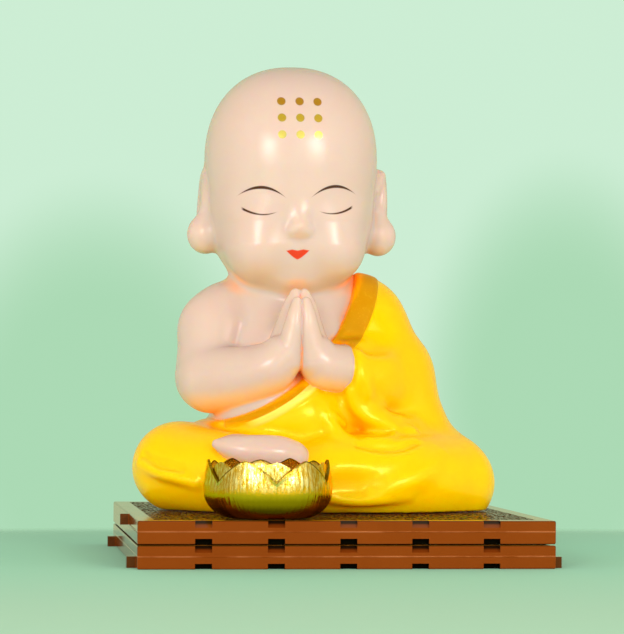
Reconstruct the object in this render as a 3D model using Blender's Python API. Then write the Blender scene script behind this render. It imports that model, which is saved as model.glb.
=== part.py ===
"""A praying baby monk, moulded in one piece, with a lotus bowl, on a base of two interlocking tiles.

Metres, +Z up. The origin is the centre of the base's underside, and the monk faces -Y.
The figure, its drapery included, is laid out in parts of its own height. The tiles and the
bowl have real sizes, and each thing stands on the one below it.
"""

import math

import bmesh
import bpy
from mathutils import Euler, Matrix, Vector

# Figure
FIGURE_HEIGHT = 0.1186
FIGURE_SHIFT_X = -0.0073
PARTS_HIGH = 118.6
PART = FIGURE_HEIGHT / PARTS_HIGH
FIGURE_FRONT_PARTS = 35.7
CLAY_GRAIN = 0.9
BODY_SMOOTHING = 16
DETAIL_SMOOTHING = 4
FIGURE_TRIANGLES = 6300

# Base tiles
TILE_WIDTH = 0.104
TILE_THICKNESS = 0.0058
TILE_ROUNDING = 0.0004
NOTCHES_PER_ROW = 5
NOTCH_ROW_MARGIN = 0.0162
NOTCH_WIDTH = 0.0042
NOTCH_HEIGHT = 0.0014
NOTCH_DEPTH = 0.0024
CHAMFER_HEIGHT = 0.0017
CHAMFER_DEPTH = 0.0026
RECESS_LENGTH = 0.0032
RECESS_WIDTH = 0.0012
RECESS_DEPTH = 0.0008
PEG_WIDTH = 0.0034
PEG_HEIGHT = 0.0028
PEG_REACH = 0.0022
PEG_EMBED = 0.001
UPPER_PEG_SHARES = ((-1, -0.30, 1),)
LOWER_PEG_SHARES = ((-1, -0.84, -1), (-1, 0.80, -1), (1, -0.90, -1))

# Lotus bowl
BOWL_FOOT_RADIUS = 0.0104
BOWL_BELLY_RADIUS = 0.0161
BOWL_TIP_RADIUS = 0.0156
BOWL_HEIGHT = 0.0144
BOWL_BELLY_SHARE = 0.45
BOWL_WALL = 0.0007
PETAL_STEP = 0.0009
PETALS = 6
PETAL_DIP = 0.0053
PETAL_TURN = 31.5
PETAL_SHARPNESS = 1.35
INNER_PETAL_DROP = 0.0004
BOWL_SHIFT_X = -0.0189
BOWL_EDGE_MARGIN = 0.0003
SEGMENTS_PER_PETAL = 10

# Clearances
REST_GAP = 0.0003
BOWL_TO_FIGURE_GAP = 0.0005

# Places worked out from the sizes above
NOTCH_PITCH = (TILE_WIDTH - 2 * NOTCH_ROW_MARGIN) / (NOTCHES_PER_ROW - 1)
TILE_BOTTOM_UPPER = TILE_THICKNESS + REST_GAP
BASE_TOP = TILE_BOTTOM_UPPER + TILE_THICKNESS
STANDING_HEIGHT = BASE_TOP + REST_GAP
BOWL_Y = -TILE_WIDTH / 2 + BOWL_EDGE_MARGIN + BOWL_FOOT_RADIUS
BOWL_BACK_Y = BOWL_Y + BOWL_BELLY_RADIUS
FIGURE_Y = BOWL_BACK_Y + BOWL_TO_FIGURE_GAP + FIGURE_FRONT_PARTS * PART

# Colours and finish of each sub-part: linear red, green, blue, then roughness and metallic
SKIN_PAINT = ((0.88, 0.62, 0.47), 0.22, 0.0)
ROBE_PAINT = ((0.95, 0.60, 0.01), 0.2, 0.0)
COLLAR_PAINT = ((0.82, 0.33, 0.01), 0.25, 0.0)
GOLD_PLATE = ((0.78, 0.58, 0.07), 0.15, 1.0)
BROWN_PLASTIC = ((0.22, 0.05, 0.015), 0.3, 0.0)

# The robe's opening: the bare shoulder lies inside one round cut, and the collar band lies
# between it and a second one, both bored from front to back. Centre X, centre Z and radius.
OPENING = (-32.7, 72.6, 51.1)
COLLAR_OUTER = (-27.1, 74.1, 51.9)
ROBE_THICKNESS = 0.9
COLLAR_THICKNESS = 1.5
CUFF_POINT = (11.6, -17.4, 37.6)
CUFF_FACING = (-0.90, -0.42, 0.08)


def clear_scene():
    for old in list(bpy.data.objects):
        bpy.data.objects.remove(old, do_unlink=True)


def material(name, paint):
    colour, roughness, metallic = paint
    made = bpy.data.materials.new(name)
    made.use_nodes = True
    shader = made.node_tree.nodes["Principled BSDF"]
    shader.inputs["Base Color"].default_value = (*colour, 1.0)
    shader.inputs["Roughness"].default_value = roughness
    shader.inputs["Metallic"].default_value = metallic
    made.diffuse_color = (*colour, 1.0)
    return made


def add_object(name, mesh):
    made = bpy.data.objects.new(name, mesh)
    bpy.context.scene.collection.objects.link(made)
    return made


def object_from(name, shape):
    """Turn a finished bmesh into an object."""
    mesh = bpy.data.meshes.new(name)
    bmesh.ops.recalc_face_normals(shape, faces=shape.faces)
    shape.to_mesh(mesh)
    shape.free()
    return add_object(name, mesh)


def add_modifier(target, kind, **settings):
    made = target.modifiers.new(kind.title(), kind)
    for key, value in settings.items():
        setattr(made, key, value)
    return made


def settle(target):
    """Make the modified shape the object's own mesh."""
    graph = bpy.context.evaluated_depsgraph_get()
    mesh = bpy.data.meshes.new_from_object(target.evaluated_get(graph))
    target.modifiers.clear()
    target.data = mesh


def cut_with(target, cutter, operation):
    add_modifier(target, "BOOLEAN", operation=operation, solver="EXACT", object=cutter)
    settle(target)
    bpy.data.objects.remove(cutter, do_unlink=True)


def merge_into(clay, piece):
    """Copy one closed bmesh into another and free it."""
    mesh = bpy.data.meshes.new("lump")
    piece.to_mesh(mesh)
    piece.free()
    clay.from_mesh(mesh)
    bpy.data.meshes.remove(mesh)


def slice_off(piece, plane):
    """Cut a closed lump with a plane, keep the side behind its normal, and cap the cut."""
    point, normal = plane
    geometry = piece.verts[:] + piece.edges[:] + piece.faces[:]
    bmesh.ops.bisect_plane(
        piece, geom=geometry, plane_co=Vector(point), plane_no=Vector(normal), clear_outer=True
    )
    rim = [edge for edge in piece.edges if edge.is_boundary]
    if rim:
        bmesh.ops.edgenet_fill(piece, edges=rim)


def ball(clay, centre, radii, turn=(0.0, 0.0, 0.0), fullness=2.0, grow=0.0, plane=None):
    """Add a round lump. A fullness above 2 squares it off a little, towards a box."""
    piece = bmesh.new()
    bmesh.ops.create_uvsphere(piece, u_segments=32, v_segments=20, radius=1.0)
    placed = Matrix.Translation(centre) @ Euler([math.radians(a) for a in turn]).to_matrix().to_4x4()
    for vert in piece.verts:
        length = sum(abs(c) ** fullness for c in vert.co) ** (1.0 / fullness)
        stretched = [c / length * (r + grow) for c, r in zip(vert.co, radii)]
        vert.co = placed @ Vector(stretched)
    if plane:
        slice_off(piece, plane)
    merge_into(clay, piece)


def smooth_route(points, radii, steps=3):
    """Read a smooth curve through the points, with the radius carried along as a fourth value."""
    stops = [Vector((*point, radius)) for point, radius in zip(points, radii)]
    if len(stops) == 2:
        return stops
    before = stops[0] * 2 - stops[1]
    after = stops[-1] * 2 - stops[-2]
    row = [before, *stops, after]
    route = []
    for a, b, c, d in zip(row, row[1:], row[2:], row[3:]):
        for step in range(steps):
            t = step / steps
            route.append(
                0.5 * (2 * b + (c - a) * t + (2 * a - 5 * b + 4 * c - d) * t**2
                       + (3 * b - a - 3 * c + d) * t**3)
            )
    route.append(stops[-1])
    return route


def limb(clay, points, radii, grow=0.0, plane=None):
    """Add a rounded limb: balls along a smooth route, joined by cones."""
    route = smooth_route(points, radii)
    for stop in route:
        ball(clay, stop[:3], [stop[3]] * 3, grow=grow, plane=plane)
    for start, end in zip(route, route[1:]):
        axis = Vector(end[:3]) - Vector(start[:3])
        piece = bmesh.new()
        bmesh.ops.create_cone(
            piece, cap_ends=True, segments=32,
            radius1=start[3] + grow, radius2=end[3] + grow, depth=axis.length,
        )
        middle = (Vector(end[:3]) + Vector(start[:3])) / 2
        turned = axis.to_track_quat("Z", "Y").to_matrix().to_4x4()
        bmesh.ops.transform(piece, matrix=Matrix.Translation(middle) @ turned, verts=piece.verts)
        if plane:
            slice_off(piece, plane)
        merge_into(clay, piece)


def mirrored(add, clay, points, *shape, **more):
    """Add the same form on both sides of the figure's middle."""
    single = not isinstance(points[0], tuple)
    for side in (-1, 1):
        flip = (lambda p: (side * p[0], p[1], p[2]))
        add(clay, flip(points) if single else [flip(p) for p in points], *shape, **more)


def skull_forms(clay):
    """Skull, round lower face, cheeks, chin and the mound of the mouth."""
    ball(clay, (0, 2, 92.8), (23.4, 23.2, 25.8), fullness=2.25)
    ball(clay, (0, -0.5, 75.8), (21.5, 19.7, 18.1), fullness=2.15)
    ball(clay, (0, 4.5, 77.5), (20.4, 17.8, 16.5))
    mirrored(limb, clay, [(9.2, -9.4, 77.0), (9.0, -9.7, 69.3)], [8.9, 9.7])
    ball(clay, (0, -12.2, 62.8), (7.0, 5.2, 5.2))
    ball(clay, (0, -15.2, 68.2), (6.4, 4.0, 5.0))


def feature_forms(clay):
    """Nose and closed eyelids."""
    limb(clay, [(0, -17.4, 80.0), (0, -18.9, 76.0), (0, -19.6, 73.6)], [1.6, 2.3, 2.8])
    mirrored(ball, clay, (2.3, -18.6, 72.6), (2.0, 2.0, 1.7))
    mirrored(ball, clay, (9.9, -15.6, 79.6), (5.8, 2.9, 3.5))


def ear_forms(clay):
    for side in (-1, 1):
        ball(clay, (side * 22.8, 4.5, 82.8), (2.5, 5.2, 8.4), turn=(0, 0, side * 18))
    rim = [(21.5, -0.6, 86.0), (23.2, 2.0, 90.0), (24.3, 6.0, 88.6), (24.9, 7.4, 83.5), (24.4, 5.4, 78)]
    mirrored(limb, clay, rim, [1.8, 2.0, 2.2, 2.1, 2.0])
    mirrored(ball, clay, (23.5, 0.8, 73.2), (5.2, 4.8, 5.4))
    mirrored(limb, clay, [(22.2, 0, 84), (22.8, 0.6, 79), (23.4, 0.8, 74)], [2.2, 2.6, 3.6])


def trunk_forms(clay, grow=0.0):
    """Neck, chest, belly and the shoulders, as far as the robe can lie on them."""
    limb(clay, [(0, 2, 48), (0, 2, 62)], [15, 13], grow=grow)
    ball(clay, (0.5, 2, 38), (23, 17.5, 23), grow=grow)
    ball(clay, (0, -5.5, 24), (20.5, 18.5, 15), grow=grow)
    ball(clay, (2, 8, 15), (27, 21, 18), grow=grow)
    limb(clay, [(-5, 2, 54.5), (-16.5, 1.2, 51.6)], [9.5, 9.2], grow=grow)
    limb(clay, [(5, 2, 54.5), (15, 1.2, 52.5)], [9.5, 9.0], grow=grow)


def bare_arm_forms(clay):
    ball(clay, (-18.6, 0.5, 48.3), (11.0, 10.6, 10.9))
    limb(clay, [(-19.5, 0, 46), (-22.0, -5, 35)], [10.5, 9.4])
    limb(
        clay,
        [(-21.8, -8, 34.3), (-14.5, -15, 35.0), (-8.0, -20, 37.2), (-4.6, -21.5, 40.5)],
        [9.1, 8.1, 7.0, 5.7],
    )


def hand_forms(clay):
    """Two palms pressed together, fingers up. Each hand has a front and a back row of fingers."""
    limb(clay, [(13, -17.4, 37.0), (6.8, -20.5, 38.0), (4.2, -21.5, 41.0)], [6.4, 6.2, 5.3])
    mirrored(
        limb, clay,
        [(3.9, -22.5, 39.5), (2.8, -24.0, 45.5), (2.0, -24.6, 51), (1.2, -24.4, 54.6)],
        [4.3, 3.1, 2.4, 1.6],
    )
    mirrored(
        limb, clay,
        [(4.3, -18.0, 42.0), (3.3, -19.5, 48), (2.4, -20.6, 53.5), (1.3, -20.8, 57.0)],
        [4.7, 3.5, 2.8, 1.8],
    )


def covered_shoulder_forms(clay, grow=0.0):
    """The left shoulder and arm under the robe, and the cloth that falls behind them."""
    ball(clay, (18.3, 1.0, 49.3), (12.8, 11.2, 12.4), grow=grow)
    limb(clay, [(18.5, 1, 49), (24.6, -1, 36)], [11.8, 12.2], grow=grow)
    limb(clay, [(25.4, 0, 31), (33, -4, 15)], [12.2, 12.4], grow=grow)
    limb(clay, [(15, 9, 46), (22, 11, 30), (28, 10, 16)], [9, 12, 13], grow=grow)
    ball(clay, (13, 7, 34), (19, 16.5, 22), grow=grow)


def sleeve_forms(clay):
    """The sleeve's end, cut off at the cuff, with its hanging lower edge."""
    cuff = (CUFF_POINT, CUFF_FACING)
    limb(clay, [(23.6, -4, 34), (17.5, -13, 35.0), (9.0, -19.5, 37.6)], [11.6, 10.0, 7.5], plane=cuff)
    limb(
        clay,
        [(14.6, -20.5, 32.5), (17.5, -20.0, 26.5), (22.5, -19, 22.8), (30, -15, 21.2)],
        [2.4, 3.6, 3.8, 3.2],
    )
    limb(clay, [(15.6, -21.5, 40.5), (16.6, -22.2, 35.5), (17.2, -21.6, 30.5)], [1.3, 1.7, 1.6])


def leg_forms(clay):
    """Crossed legs under the robe, spread into one low cushion."""
    ball(clay, (2, 6, 9.5), (37, 25, 15), fullness=2.3)
    limb(clay, [(-30.8, -9, 11.3), (-20, -19, 9.8), (-6, -23.0, 9.0)], [11.8, 11.1, 10.5])
    limb(clay, [(41.8, -10, 7.2), (28, -20, 8.6), (8, -23.5, 9.4)], [12.3, 11.9, 10.7])
    ball(clay, (-20, 0, 10), (21, 18, 12.5))
    ball(clay, (30, 0, 10), (20.5, 19, 14.5))


def fold_forms(clay):
    """The drapery's raised folds, each one a thin limb half sunk in the robe."""
    limb(clay, [(6.5, -22.6, 26.5), (8.6, -24.5, 22.0), (11.5, -26.0, 18.4)], [1.2, 1.7, 1.2])
    limb(clay, [(-40.5, -13.0, 13.0), (-36.5, -19.5, 9.0), (-27.5, -26.8, 9.0)], [1.0, 1.6, 1.0])
    limb(clay, [(5, -33.0, 9.2), (15, -32.8, 4.6), (27, -30.6, 3.6)], [1.0, 1.6, 1.0])
    limb(clay, [(16, -31.4, 12.4), (26, -29.8, 11.2), (36, -25.2, 11.8)], [0.9, 1.5, 0.9])
    limb(clay, [(17, 9.5, 50), (9, 18.2, 40), (-3, 20.2, 30), (-15, 18.5, 24)], [1.8, 2.4, 2.4, 1.6])
    limb(clay, [(24, 13.5, 42), (19, 19.6, 32), (8, 25.2, 22), (-6, 26.5, 16)], [2.0, 2.6, 2.6, 1.6])
    limb(clay, [(33, 14, 28), (28, 22, 18), (15, 28, 10)], [1.8, 2.6, 1.8])


def foot_forms(clay):
    sole = [(-22, -29.4, 17.6), (-18.5, -30.2, 16.2), (-12, -30.6, 14.8), (-3.8, -29.4, 13.4)]
    limb(clay, sole, [1.9, 3.3, 4.7, 4.7])
    ball(clay, (-17.2, -26.8, 18.0), (5.0, 3.0, 3.0))


def round_cut(name, bore, depth=160.0):
    """A round cutter bored from front to back through the figure."""
    centre_x, centre_z, radius = bore
    shape = bmesh.new()
    bmesh.ops.create_cone(
        shape, cap_ends=True, segments=96, radius1=radius, radius2=radius, depth=depth
    )
    lying = Matrix.Translation((centre_x, 0, centre_z)) @ Matrix.Rotation(math.radians(90), 4, "X")
    bmesh.ops.transform(shape, matrix=lying, verts=shape.verts)
    return object_from(name, shape)


def melt(target, passes):
    """Melt the lumps into one skin of even grain, then soften it."""
    add_modifier(target, "REMESH", mode="VOXEL", voxel_size=CLAY_GRAIN)
    add_modifier(target, "SMOOTH", factor=0.5, iterations=passes)
    settle(target)


def cloth_layer(name, thickness):
    """The trunk grown by the cloth's thickness, open over the bare shoulder."""
    clay = bmesh.new()
    trunk_forms(clay, grow=thickness)
    covered_shoulder_forms(clay, grow=thickness - ROBE_THICKNESS)
    layer = object_from(name, clay)
    melt(layer, BODY_SMOOTHING)
    cut_with(layer, round_cut("opening_cut", OPENING), "DIFFERENCE")
    return layer


def body_mass():
    """The large soft forms, melted together before any edge or feature is laid on them."""
    clay = bmesh.new()
    skull_forms(clay)
    trunk_forms(clay)
    bare_arm_forms(clay)
    leg_forms(clay)
    mass = object_from("body_mass", clay)
    melt(mass, BODY_SMOOTHING)
    return mass


def make_figure():
    """Lay out every form in parts, melt them into one skin and cut the underside flat."""
    robe = cloth_layer("robe_layer", ROBE_THICKNESS)
    collar = cloth_layer("collar_layer", COLLAR_THICKNESS)
    cut_with(collar, round_cut("collar_cut", COLLAR_OUTER), "INTERSECT")
    clay = bmesh.new()
    for layer in (robe, collar, body_mass()):
        clay.from_mesh(layer.data)
        bpy.data.objects.remove(layer, do_unlink=True)
    feature_forms(clay)
    ear_forms(clay)
    hand_forms(clay)
    sleeve_forms(clay)
    fold_forms(clay)
    foot_forms(clay)
    mesh = bpy.data.meshes.new("monk_figure")
    clay.to_mesh(mesh)
    clay.free()
    figure = add_object("monk_figure", mesh)
    melt(figure, DETAIL_SMOOTHING)
    share = FIGURE_TRIANGLES / sum(len(face.vertices) - 2 for face in figure.data.polygons)
    add_modifier(figure, "DECIMATE", ratio=share)
    settle(figure)
    under = bmesh.new()
    bmesh.ops.create_cube(under, size=PARTS_HIGH * 2)
    bmesh.ops.translate(under, vec=(0, 0, -PARTS_HIGH), verts=under.verts)
    cut_with(figure, object_from("underside_cut", under), "DIFFERENCE")
    paint_figure(figure)
    figure.data.shade_smooth()
    figure.data.transform(Matrix.Scale(PART, 4))
    figure.location = (FIGURE_SHIFT_X, FIGURE_Y, STANDING_HEIGHT)
    return figure


def inside(bore, x, z):
    return math.hypot(x - bore[0], z - bore[1]) < bore[2]


def paint_figure(figure):
    """Give each face its paint: bare skin, the collar band, or the robe."""
    neck_height = 57.0
    robe_foot = 24.0
    figure.data.materials.clear()
    for name, paint in (("skin", SKIN_PAINT), ("robe", ROBE_PAINT), ("collar", COLLAR_PAINT)):
        figure.data.materials.append(material(name, paint))
    for face in figure.data.polygons:
        x, y, z = face.center
        bare = inside(OPENING, x, z) and z > robe_foot
        hand = y < -14 and z > 30 and (Vector((x, y, z)) - Vector(CUFF_POINT)).dot(CUFF_FACING) > 0
        foot = y < -26.5 and -25 < x < 1.5 and 11 < z < 20
        if z > neck_height + 4 or bare or hand or foot:
            face.material_index = 0
        elif inside(COLLAR_OUTER, x, z) and z > robe_foot:
            face.material_index = 2
        else:
            face.material_index = 1


def box(shape, centre, size, turn=None):
    """Add a box. A turn, in degrees about one axis, comes before it is stretched to its size."""
    piece = bmesh.new()
    bmesh.ops.create_cube(piece, size=1.0)
    if turn:
        degrees, axis = turn
        bmesh.ops.transform(
            piece, matrix=Matrix.Rotation(math.radians(degrees), 4, axis), verts=piece.verts
        )
    bmesh.ops.scale(piece, vec=size, verts=piece.verts)
    bmesh.ops.translate(piece, vec=centre, verts=piece.verts)
    merge_into(shape, piece)


def notch_row():
    """Places of the notches along one side, about its middle."""
    first = -(NOTCHES_PER_ROW - 1) / 2 * NOTCH_PITCH
    return [first + i * NOTCH_PITCH for i in range(NOTCHES_PER_ROW)]


def add_notches(cutters):
    """Square notches in the bottom edges of the front and the back, and sloped ones in the top.

    A sloped notch is cut by a bar whose section is a diamond with its middle on the edge."""
    half = TILE_WIDTH / 2
    low, high = -TILE_THICKNESS / 2, TILE_THICKNESS / 2
    square = (NOTCH_WIDTH, NOTCH_DEPTH * 2, NOTCH_HEIGHT * 2)
    slant = (NOTCH_WIDTH, CHAMFER_DEPTH * math.sqrt(2), CHAMFER_HEIGHT * math.sqrt(2))
    for along in notch_row():
        for side in (-1, 1):
            box(cutters, (along, side * half, low), square)
            box(cutters, (along, side * half, high), slant, turn=(45, "X"))


def add_recesses(cutters):
    """A square grid of shallow oblong recesses in the tile's top."""
    for x in notch_row():
        for y in notch_row():
            size = (RECESS_LENGTH, RECESS_WIDTH, RECESS_DEPTH * 2)
            box(cutters, (x, y, TILE_THICKNESS / 2), size)


def make_tile(name, bottom, pegs, recessed):
    """One moulded tile: a square slab with notched edges and coupling pegs, recessed if it shows.

    Each peg is given by its side in X, its place in Y as a share of the half width, and
    whether it lies in the upper or the lower half of the edge."""
    half = TILE_WIDTH / 2
    slab = bmesh.new()
    box(slab, (0, 0, 0), (TILE_WIDTH, TILE_WIDTH, TILE_THICKNESS))
    tile = object_from(name, slab)
    add_modifier(tile, "BEVEL", width=TILE_ROUNDING, segments=2)
    settle(tile)
    cutters = bmesh.new()
    add_notches(cutters)
    if recessed:
        add_recesses(cutters)
    cut_with(tile, object_from("tile_cutters", cutters), "DIFFERENCE")
    studs = bmesh.new()
    for side, share, level in pegs:
        reach = PEG_REACH + PEG_EMBED
        x = side * (half - PEG_EMBED + reach / 2)
        z = level * (TILE_THICKNESS - PEG_HEIGHT) / 2
        box(studs, (x, share * half, z), (reach, PEG_WIDTH, PEG_HEIGHT))
    cut_with(tile, object_from("tile_pegs", studs), "UNION")
    tile.data.materials.clear()
    tile.data.materials.append(material(name + "_plastic", BROWN_PLASTIC))
    tile.location = (0, 0, bottom + TILE_THICKNESS / 2)
    return tile


def petal_wave(angle, offset):
    """How far round from a petal's tip to the next dip an angle is: 0 at a tip, 1 at a dip."""
    turn = (angle / (2 * math.pi) * PETALS + offset) % 1.0
    return abs(turn - round(turn)) * 2


def bowl_radius(share):
    """The bowl's outer radius at a share of its height: foot, belly, then in to the tips."""
    if share < BOWL_BELLY_SHARE:
        swell = math.sqrt(1 - (1 - share / BOWL_BELLY_SHARE) ** 2) ** 1.2
        return BOWL_FOOT_RADIUS + (BOWL_BELLY_RADIUS - BOWL_FOOT_RADIUS) * swell
    rise = (share - BOWL_BELLY_SHARE) / (1 - BOWL_BELLY_SHARE)
    return BOWL_BELLY_RADIUS - (BOWL_BELLY_RADIUS - BOWL_TIP_RADIUS) * rise**2


def bowl_section(angle):
    """One half section of the bowl: up the outer petals, over the inner ones, down inside."""
    outer_dip = petal_wave(angle, 0.0) ** PETAL_SHARPNESS
    inner_dip = petal_wave(angle, 0.5) ** PETAL_SHARPNESS
    outer_top = BOWL_HEIGHT - PETAL_DIP * outer_dip
    inner_top = BOWL_HEIGHT - INNER_PETAL_DROP - PETAL_DIP * inner_dip
    inset = PETAL_STEP
    section = [(bowl_radius(0.0), 0.0)]
    rises = 5
    climb = [(i / rises) ** 1.5 for i in range(1, rises + 1)]
    for share in climb:
        height = outer_top * share
        section.append((bowl_radius(height / BOWL_HEIGHT), height))
    section.append((bowl_radius(outer_top / BOWL_HEIGHT) - inset, outer_top))
    section.append((bowl_radius(inner_top / BOWL_HEIGHT) - inset, inner_top))
    wall = inset + BOWL_WALL
    for share in reversed(climb):
        height = BOWL_WALL + (inner_top - BOWL_WALL) * share
        section.append((bowl_radius(height / BOWL_HEIGHT) - wall, height))
    section.append((BOWL_FOOT_RADIUS - wall, BOWL_WALL))
    return section


def make_bowl():
    """The sections set round in a ring and closed at the foot and at the bowl's floor."""
    shape = bmesh.new()
    count = PETALS * SEGMENTS_PER_PETAL
    rings = []
    for i in range(count):
        from_tip = i / count * 2 * math.pi
        angle = from_tip + math.radians(PETAL_TURN)
        around = (math.sin(angle), -math.cos(angle))
        rings.append([
            shape.verts.new((r * around[0], r * around[1], z)) for r, z in bowl_section(from_tip)
        ])
    underside = shape.verts.new((0, 0, 0))
    floor = shape.verts.new((0, 0, BOWL_WALL))
    for here, there in zip(rings, rings[1:] + rings[:1]):
        for j in range(len(here) - 1):
            shape.faces.new((here[j], there[j], there[j + 1], here[j + 1]))
        shape.faces.new((underside, there[0], here[0]))
        shape.faces.new((floor, here[-1], there[-1]))
    bowl = object_from("lotus_bowl", shape)
    bowl.data.shade_smooth()
    bowl.data.set_sharp_from_angle(angle=math.radians(40))
    bowl.data.materials.append(material("gold_plate", GOLD_PLATE))
    bowl.location = (BOWL_SHIFT_X, BOWL_Y, STANDING_HEIGHT)
    return bowl


clear_scene()
make_tile("plinth_lower_tile", 0.0, LOWER_PEG_SHARES, recessed=False)
make_tile("plinth_upper_tile", TILE_BOTTOM_UPPER, UPPER_PEG_SHARES, recessed=True)
make_bowl()
make_figure()
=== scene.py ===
# %% [markdown]
# # A praying baby monk on a base of two tiles
# The real object is a small moulded figure with a sprayed and brushed lacquer finish. It sits,
# with a gold-plated lotus bowl before it, on two flat plastic tiles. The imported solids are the
# frame for everything here: each new surface is worked out in the same place as its solid.

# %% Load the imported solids
import math
import bpy
import numpy as np
from mathutils import Matrix


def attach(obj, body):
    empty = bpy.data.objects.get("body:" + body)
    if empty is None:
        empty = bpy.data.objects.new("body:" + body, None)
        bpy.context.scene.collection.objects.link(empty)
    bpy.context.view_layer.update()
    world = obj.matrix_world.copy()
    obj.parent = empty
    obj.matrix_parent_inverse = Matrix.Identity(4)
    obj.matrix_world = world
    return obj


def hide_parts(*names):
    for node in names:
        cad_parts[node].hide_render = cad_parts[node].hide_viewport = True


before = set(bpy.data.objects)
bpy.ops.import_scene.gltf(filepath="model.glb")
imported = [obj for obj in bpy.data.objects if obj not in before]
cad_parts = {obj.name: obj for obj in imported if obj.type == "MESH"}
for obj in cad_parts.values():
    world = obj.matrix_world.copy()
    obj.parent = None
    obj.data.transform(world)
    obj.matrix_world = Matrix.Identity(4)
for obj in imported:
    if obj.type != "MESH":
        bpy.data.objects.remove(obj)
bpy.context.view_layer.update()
print("solids:", sorted(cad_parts))

# %% [markdown]
# ## The camera
# The photograph is a long, level shot from a little left of the middle. A 153 mm lens from
# 0.7 m away keeps the base's sides almost parallel, as they are there.

# %% Place the camera
CAMERA_AT = (-0.0950, -0.7099, 0.0463)
CAMERA_YAW, CAMERA_PITCH, CAMERA_ROLL = np.radians([7.4, 1.35, 0.42])
CAMERA_LENS = 153.31


def unit(vector):
    """A direction of length 1: the vector over the root of the sum of its squares."""
    vector = np.asarray(vector, float)
    return vector / np.linalg.norm(vector)


def camera_turn():
    """Rows of the camera's turn: right, up and back, from the yaw, the pitch and then the roll."""
    ahead = np.array([
        math.sin(CAMERA_YAW) * math.cos(CAMERA_PITCH),
        math.cos(CAMERA_YAW) * math.cos(CAMERA_PITCH),
        math.sin(CAMERA_PITCH),
    ])
    level = np.array([math.cos(CAMERA_YAW), -math.sin(CAMERA_YAW), 0.0])
    upright = np.cross(level, ahead)
    right = math.cos(CAMERA_ROLL) * level + math.sin(CAMERA_ROLL) * upright
    up = -math.sin(CAMERA_ROLL) * level + math.cos(CAMERA_ROLL) * upright
    return np.array([right, up, -ahead])


camera_data = bpy.data.cameras.new("camera")
camera_data.lens = CAMERA_LENS
camera_data.clip_start = 0.01
camera = bpy.data.objects.new("camera", camera_data)
bpy.context.scene.collection.objects.link(camera)
turn = Matrix(camera_turn().T.tolist()).to_4x4()
camera.matrix_world = Matrix.Translation(CAMERA_AT) @ turn
bpy.context.scene.camera = camera
bpy.context.scene.view_settings.view_transform = "Standard"
print("camera at", CAMERA_AT)

# %% [markdown]
# ## Forms as distances
# A moulded figure has no grid of its own: an arm runs into a sleeve and a cheek into a jaw. So
# its surface isn't laid out from two parameters. Each form is a distance instead, negative
# inside, worked out for a whole block of space at once. Two distances melt into each other with
# a smooth minimum, as wax does, and the surface is where the sum is zero.

# %% Blocks of space
MM = 0.001


class Grid:
    """Points on a regular lattice, given by its lowest corner, highest corner and step."""

    def __init__(self, low, high, step):
        self.low, self.step = np.array(low, float), step
        self.count = np.ceil((np.array(high) - self.low) / step).astype(int) + 1
        self.axes = [
            (self.low[i] + step * np.arange(self.count[i])).astype(np.float32) for i in range(3)
        ]
        self.shape = tuple(self.count)

    def block(self, low, high):
        """The slices of the lattice that lie inside a box."""
        first = np.floor((low - self.low) / self.step).clip(0, self.count).astype(int)
        last = (np.ceil((high - self.low) / self.step) + 1).clip(0, self.count).astype(int)
        return tuple(slice(a, max(a, b)) for a, b in zip(first, last))

    def points(self, block):
        """The X, Y and Z of a block, each in its own direction, so that sums fill the block."""
        x, y, z = (self.axes[i][block[i]] for i in range(3))
        return x[:, None, None], y[None, :, None], z[None, None, :]


class Cloud:
    """Loose points, asked for in the same way as a Grid."""

    def __init__(self, places):
        self.places = np.asarray(places, np.float32)
        self.shape = (len(self.places),)

    def block(self, low, high):
        """The numbers of the points that lie inside a box."""
        return np.nonzero(((self.places >= low) & (self.places <= high)).all(1))[0]

    def points(self, block):
        """The X, Y and Z of those points."""
        return self.places[block].T


def whole(space):
    """The block that holds every point of a Grid or a Cloud."""
    return space.block(np.full(3, -1e3), np.full(3, 1e3))


# %% Balls and limbs
def turned(x, y, z, degrees):
    """Undo a turn about X, then Y, then Z, one plane of the three at a time."""
    (cx, cy, cz), (sx, sy, sz) = np.cos(np.radians(degrees)), np.sin(np.radians(degrees))
    x, y = cz * x + sz * y, cz * y - sz * x
    x, z = cy * x - sy * z, cy * z + sy * x
    y, z = cx * y + sx * z, cx * z - sx * y
    return x, y, z


class Ball:
    """A stretched ball. The distance is k (k - 1) / slope, where k is how many radii out a point
    lies and slope is how fast k grows there. A fullness above 2 squares the ball off."""

    def __init__(self, centre, radii, turn=None, fullness=2.0, blend=2.0):
        self.centre, self.radii = np.array(centre, float), np.array(radii, float)
        self.turn, self.fullness, self.blend = turn, fullness, blend

    def box(self, margin):
        reach = (np.full(3, self.radii.max()) if self.turn else self.radii) + margin
        return self.centre - reach, self.centre + reach

    def distance(self, x, y, z):
        x, y, z = x - self.centre[0], y - self.centre[1], z - self.centre[2]
        if self.turn:
            x, y, z = turned(x, y, z, self.turn)
        n = self.fullness
        a, b, c = (np.abs(v / r) + 1e-6 for v, r in zip((x, y, z), self.radii))
        k = (a**n + b**n + c**n) ** (1 / n)
        rx, ry, rz = self.radii
        slope = np.sqrt(
            (a ** (n - 1) / rx) ** 2 + (b ** (n - 1) / ry) ** 2 + (c ** (n - 1) / rz) ** 2
        ) * k ** (1 - n)
        return (k - 1) / slope


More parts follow.
